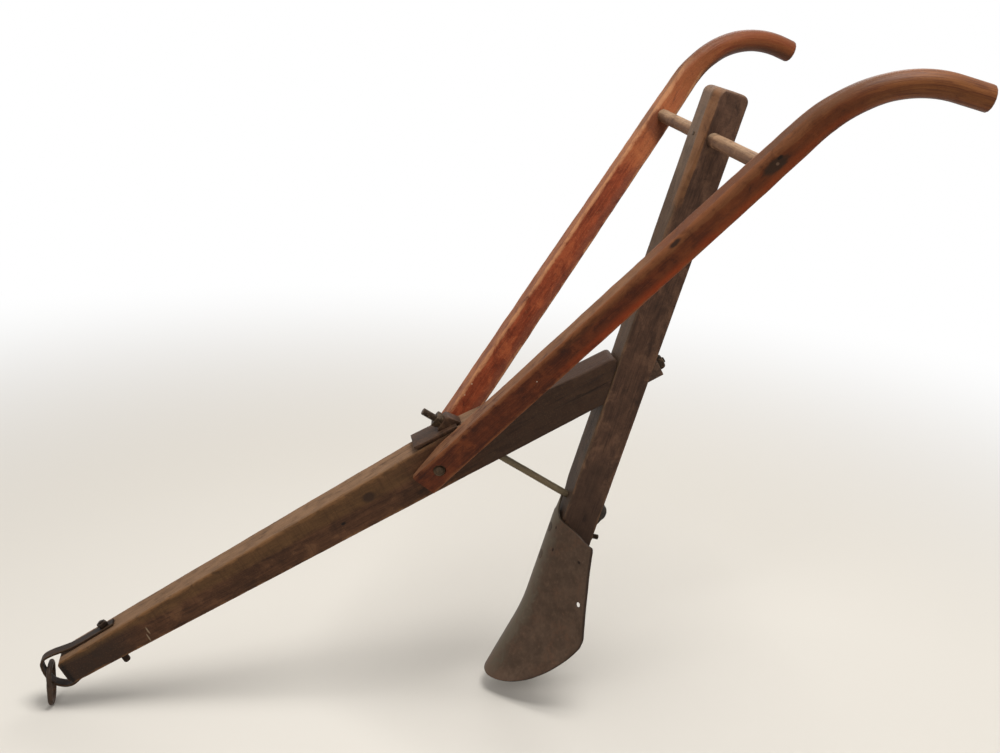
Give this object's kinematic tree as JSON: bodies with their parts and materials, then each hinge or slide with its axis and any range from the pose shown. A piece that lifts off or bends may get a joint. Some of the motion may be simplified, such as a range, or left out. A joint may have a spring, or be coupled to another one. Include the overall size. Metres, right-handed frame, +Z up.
{
  "type": "horse-drawn walking shovel plough for potatoes",
  "caption": "Old one-horse wooden potato plough: sloping beam, upright standard with a V-shaped steel shovel, two bent handles joined by a round, iron brace rod and draft link",
  "frame": {"origin": "point midway between the two hand grips, where the ploughman holds the plough", "axes": "+X forward (direction of draught, level), +Y to the ploughman's left, +Z up"},
  "size_m": [1.3644, 0.7633, 1.151],
  "materials": {
    "old_wood": "dark grey-brown weathered hardwood with dusty top faces",
    "stained_wood": "worn red stain over brown hardwood",
    "plain_wood": "bare light grey-brown wood",
    "rusty_iron": "dark brown rusted wrought iron",
    "blade_steel": "dull grey-brown plate steel"
  },
  "bodies": {
    "plough": {"beam": "old_wood", "standard": "old_wood", "left_handle": "stained_wood", "right_handle": "stained_wood", "handle_round": "plain_wood", "shovel_blade": "blade_steel", "brace_rod": "rusty_iron", "brace_rod_nut": "rusty_iron", "brace_rod_washer": "rusty_iron", "rod_saddle": "rusty_iron", "beam_bolt": "rusty_iron", "beam_bolt_block": "rusty_iron", "beam_bolt_nut": "rusty_iron", "handle_bolt": "rusty_iron", "handle_bolt_nut": "rusty_iron", "handle_washer_left": "rusty_iron", "handle_washer_right": "rusty_iron", "draft_strap": "rusty_iron", "strap_bolt": "rusty_iron", "strap_bolt_nut": "rusty_iron", "shovel_bolt_upper": "rusty_iron", "shovel_bolt_lower": "rusty_iron", "shovel_bolt_nut_upper": "rusty_iron", "shovel_bolt_nut_lower": "rusty_iron", "standard_nail": "rusty_iron"},
    "draft_link": {"draft_link": "rusty_iron"}
  },
  "joints": [
    {"name": "draft_link_swing", "type": "hinge", "parent": "plough", "child": "draft_link", "pos_m": [1.28812, 0, -1.05324], "axis": [0, -1, 0], "range_deg": [-40, 130]}
  ]
}
